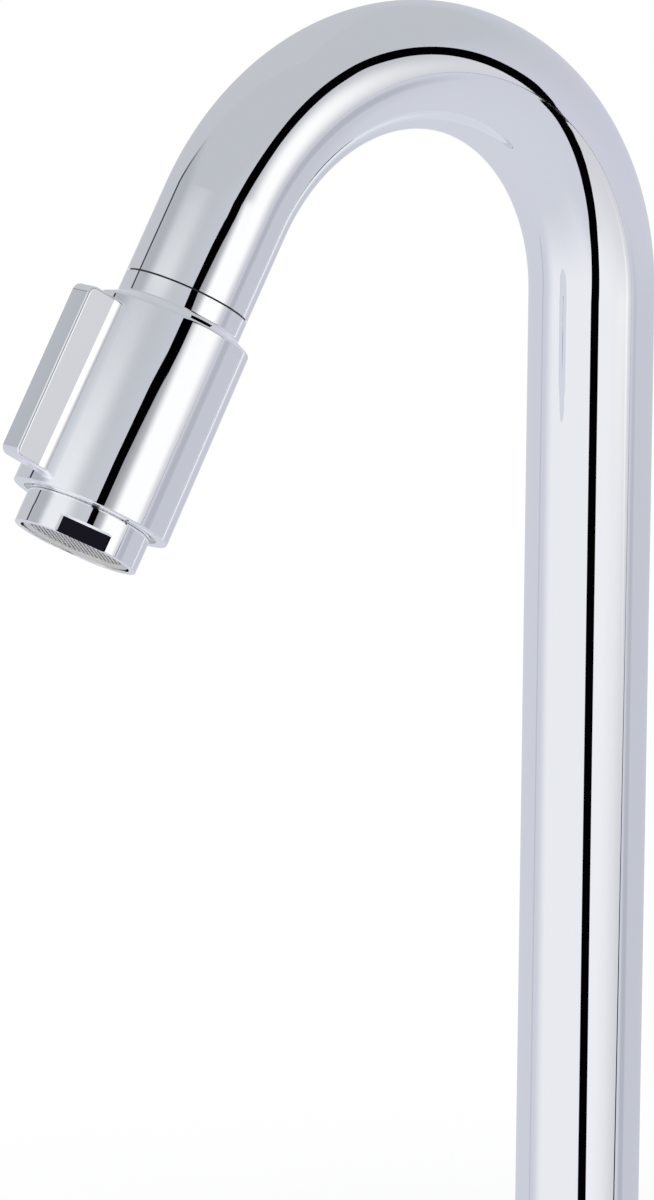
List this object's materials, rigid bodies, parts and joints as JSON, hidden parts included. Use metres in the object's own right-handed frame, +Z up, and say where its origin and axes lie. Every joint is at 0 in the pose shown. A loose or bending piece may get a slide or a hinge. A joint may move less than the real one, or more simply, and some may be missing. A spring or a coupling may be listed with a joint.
{
  "type": "basin tap",
  "caption": "Tall single-water basin tap: a round column with a swan-neck bend, and a quarter-turn control sleeve with a wing built round the outlet.",
  "frame": {"origin": "centre of the foot's underside, on the deck, on the column's axis", "axes": "+Z up along the column, -Y towards the outlet, X across; the tap's middle plane is X = 0"},
  "size_m": [0.05, 0.1843, 0.382],
  "materials": {
    "chrome": "polished mirror chrome plate",
    "brass": "turned brass",
    "rubber": "black sealing rubber",
    "steel": "stainless steel, dull",
    "ceramic": "lapped alumina ceramic",
    "slide_plastic": "low-friction plastic",
    "aerator_plastic": "dark grey moulded plastic",
    "screen": "stainless woven screen"
  },
  "bodies": {
    "tap": {"spout_tube": "chrome", "foot": "chrome", "foot_seal": "rubber", "shank": "brass", "shank_seal": "rubber", "clamp_gasket": "rubber", "clamp_washer": "steel", "mounting_nut": "brass", "tip_bush": "brass", "slide_ring": "slide_plastic", "headwork_body": "brass", "headwork_seal": "rubber", "seat_seal": "rubber", "fixed_disc": "ceramic"},
    "control": {"handle": "chrome", "spindle": "brass", "moving_disc": "ceramic", "thrust_washer": "slide_plastic", "spindle_seals": "rubber", "circlip": "steel", "outlet_nozzle": "brass", "nozzle_seal": "rubber", "aerator_gasket": "rubber", "aerator_housing": "chrome", "aerator_cage": "aerator_plastic", "flow_regulator": "aerator_plastic", "inlet_strainer": "steel", "aerator_screen": "screen"}
  },
  "joints": [
    {"name": "handle_turn", "type": "hinge", "parent": "tap", "child": "control", "pos_m": [0, -0.11288, 0.25475], "axis": [0, -0.5, -0.866], "range_deg": [0, 90]}
  ]
}
